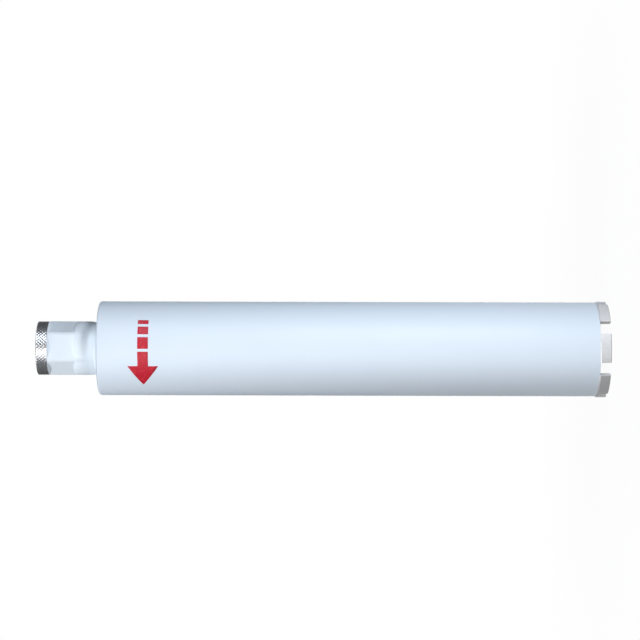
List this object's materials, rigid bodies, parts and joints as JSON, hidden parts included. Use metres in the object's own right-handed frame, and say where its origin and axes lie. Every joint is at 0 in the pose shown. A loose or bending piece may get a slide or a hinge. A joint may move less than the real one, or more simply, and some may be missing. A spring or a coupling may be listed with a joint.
{
  "type": "diamond core bit",
  "caption": "Wet diamond core drill bit: thin painted steel barrel, crown of curved diamond segments, and a hexagonal hub with a knurled ring and female thread.",
  "frame": {"origin": "centre of the crown's cutting plane, which the bit stands on", "axes": "+Z along the bit's axis from crown to hub; -Y is the side that the picture shows; +X is the top edge in the picture"},
  "size_m": [0.082, 0.0817, 0.4868],
  "materials": {
    "barrel_paint": "satin pale blue-white paint on steel",
    "hub_paint": "satin pale blue-white paint on machined steel",
    "bare_steel": "bare knurled and machined steel, bright weld",
    "diamond_matrix": "sintered metal with fine grit",
    "direction_mark": "red screen print"
  },
  "bodies": {
    "root": {"core_tube": "barrel_paint", "end_plate": "barrel_paint", "hub": "hub_paint", "rim_weld": "barrel_paint", "hub_weld": "hub_paint", "segment_1": "diamond_matrix", "segment_2": "diamond_matrix", "segment_3": "diamond_matrix", "segment_4": "diamond_matrix", "segment_5": "diamond_matrix", "segment_6": "diamond_matrix", "segment_7": "diamond_matrix", "segment_weld_1": "bare_steel", "segment_weld_2": "bare_steel", "segment_weld_3": "bare_steel", "segment_weld_4": "bare_steel", "segment_weld_5": "bare_steel", "segment_weld_6": "bare_steel", "segment_weld_7": "bare_steel"}
  },
  "joints": []
}
